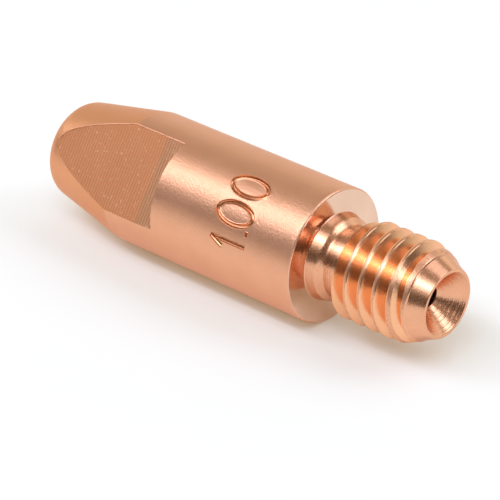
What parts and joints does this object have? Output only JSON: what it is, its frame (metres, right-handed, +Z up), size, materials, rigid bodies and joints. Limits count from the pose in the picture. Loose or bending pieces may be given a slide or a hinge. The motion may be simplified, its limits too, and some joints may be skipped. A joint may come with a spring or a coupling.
{
  "type": "welding contact tip",
  "caption": "Turned copper-alloy contact tip: tapered nose, round body with spanner flats, shoulder, threaded tail and a countersunk wire bore.",
  "frame": {"origin": "centre of the shoulder face, on the axis of the wire bore", "axes": "+X along the axis from the nose to the threaded end, +Z up as the tip lies on its round body, Y across"},
  "size_m": [0.028, 0.008, 0.008],
  "materials": {
    "copper": "satin turned copper alloy"
  },
  "bodies": {
    "root": {"contact_tip": "copper"}
  },
  "joints": []
}
